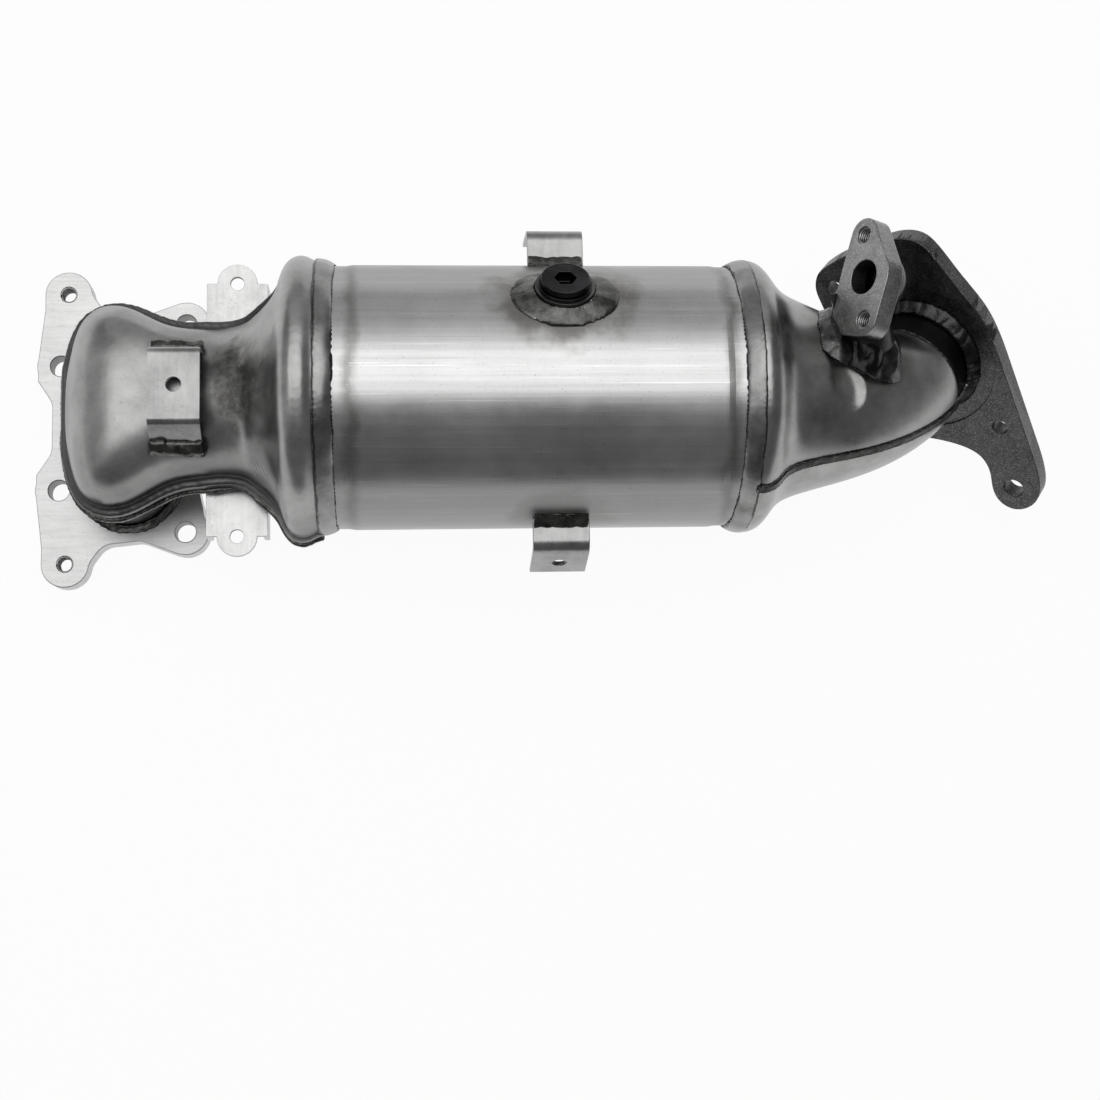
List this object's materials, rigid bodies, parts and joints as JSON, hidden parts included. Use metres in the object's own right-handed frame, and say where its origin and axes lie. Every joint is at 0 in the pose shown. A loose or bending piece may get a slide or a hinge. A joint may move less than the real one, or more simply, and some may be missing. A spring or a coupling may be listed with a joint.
{
  "type": "catalytic converter",
  "caption": "Manifold catalytic converter: ground inlet flange, pressed inlet box, round can with a plugged sensor bung, bent outlet duct, small side flange and outlet flange.",
  "frame": {"origin": "centre of the inlet port on the mounting face of the inlet flange", "axes": "+X along the can from inlet to outlet, the mounting face looks down along -Z"},
  "size_m": [0.5198, 0.1665, 0.1473],
  "materials": {
    "flange_steel": "ground satin",
    "shell_steel": "pressed stainless",
    "can_steel": "brushed lengthwise",
    "weld_steel": "rippled weld bead",
    "bracket_steel": "satin strip",
    "bung_steel": "turned satin",
    "plug_black": "satin black",
    "pipe_black": "blackened satin",
    "egr_steel": "machined satin",
    "outlet_iron": "fine cast, satin",
    "ceramic": "matt",
    "mat_fibre": "matt fibre"
  },
  "bodies": {
    "root": {"inlet_flange": "flange_steel", "inlet_shell_front": "shell_steel", "inlet_shell_rear": "shell_steel", "inlet_seam_weld": "weld_steel", "inlet_flange_weld": "weld_steel", "can_body": "can_steel", "can_seam_weld": "weld_steel", "front_brick": "ceramic", "rear_brick": "ceramic", "front_mat": "mat_fibre", "rear_mat": "mat_fibre", "inlet_ring_weld": "weld_steel", "outlet_ring_weld": "weld_steel", "outlet_shell_front": "shell_steel", "outlet_shell_rear": "shell_steel", "outlet_seam_weld_outer": "weld_steel", "outlet_seam_weld_inner": "weld_steel", "egr_stub": "pipe_black", "egr_stub_weld": "weld_steel", "egr_flange": "egr_steel", "outlet_flange": "outlet_iron", "outlet_pipe": "pipe_black", "outlet_flange_weld": "weld_steel", "outlet_sleeve_weld": "weld_steel", "sensor_bung": "bung_steel", "bung_weld": "weld_steel", "plug_washer": "bung_steel", "sensor_plug": "plug_black", "top_bracket": "bracket_steel", "top_bracket_weld": "weld_steel", "bottom_bracket": "bracket_steel", "bottom_bracket_weld": "weld_steel", "inlet_bracket": "bracket_steel", "inlet_bracket_top_weld": "weld_steel", "inlet_bracket_low_weld": "weld_steel", "neck_ear_upper": "bracket_steel", "neck_ear_upper_weld": "weld_steel", "neck_ear_lower": "bracket_steel", "neck_ear_lower_weld": "weld_steel"}
  },
  "joints": []
}
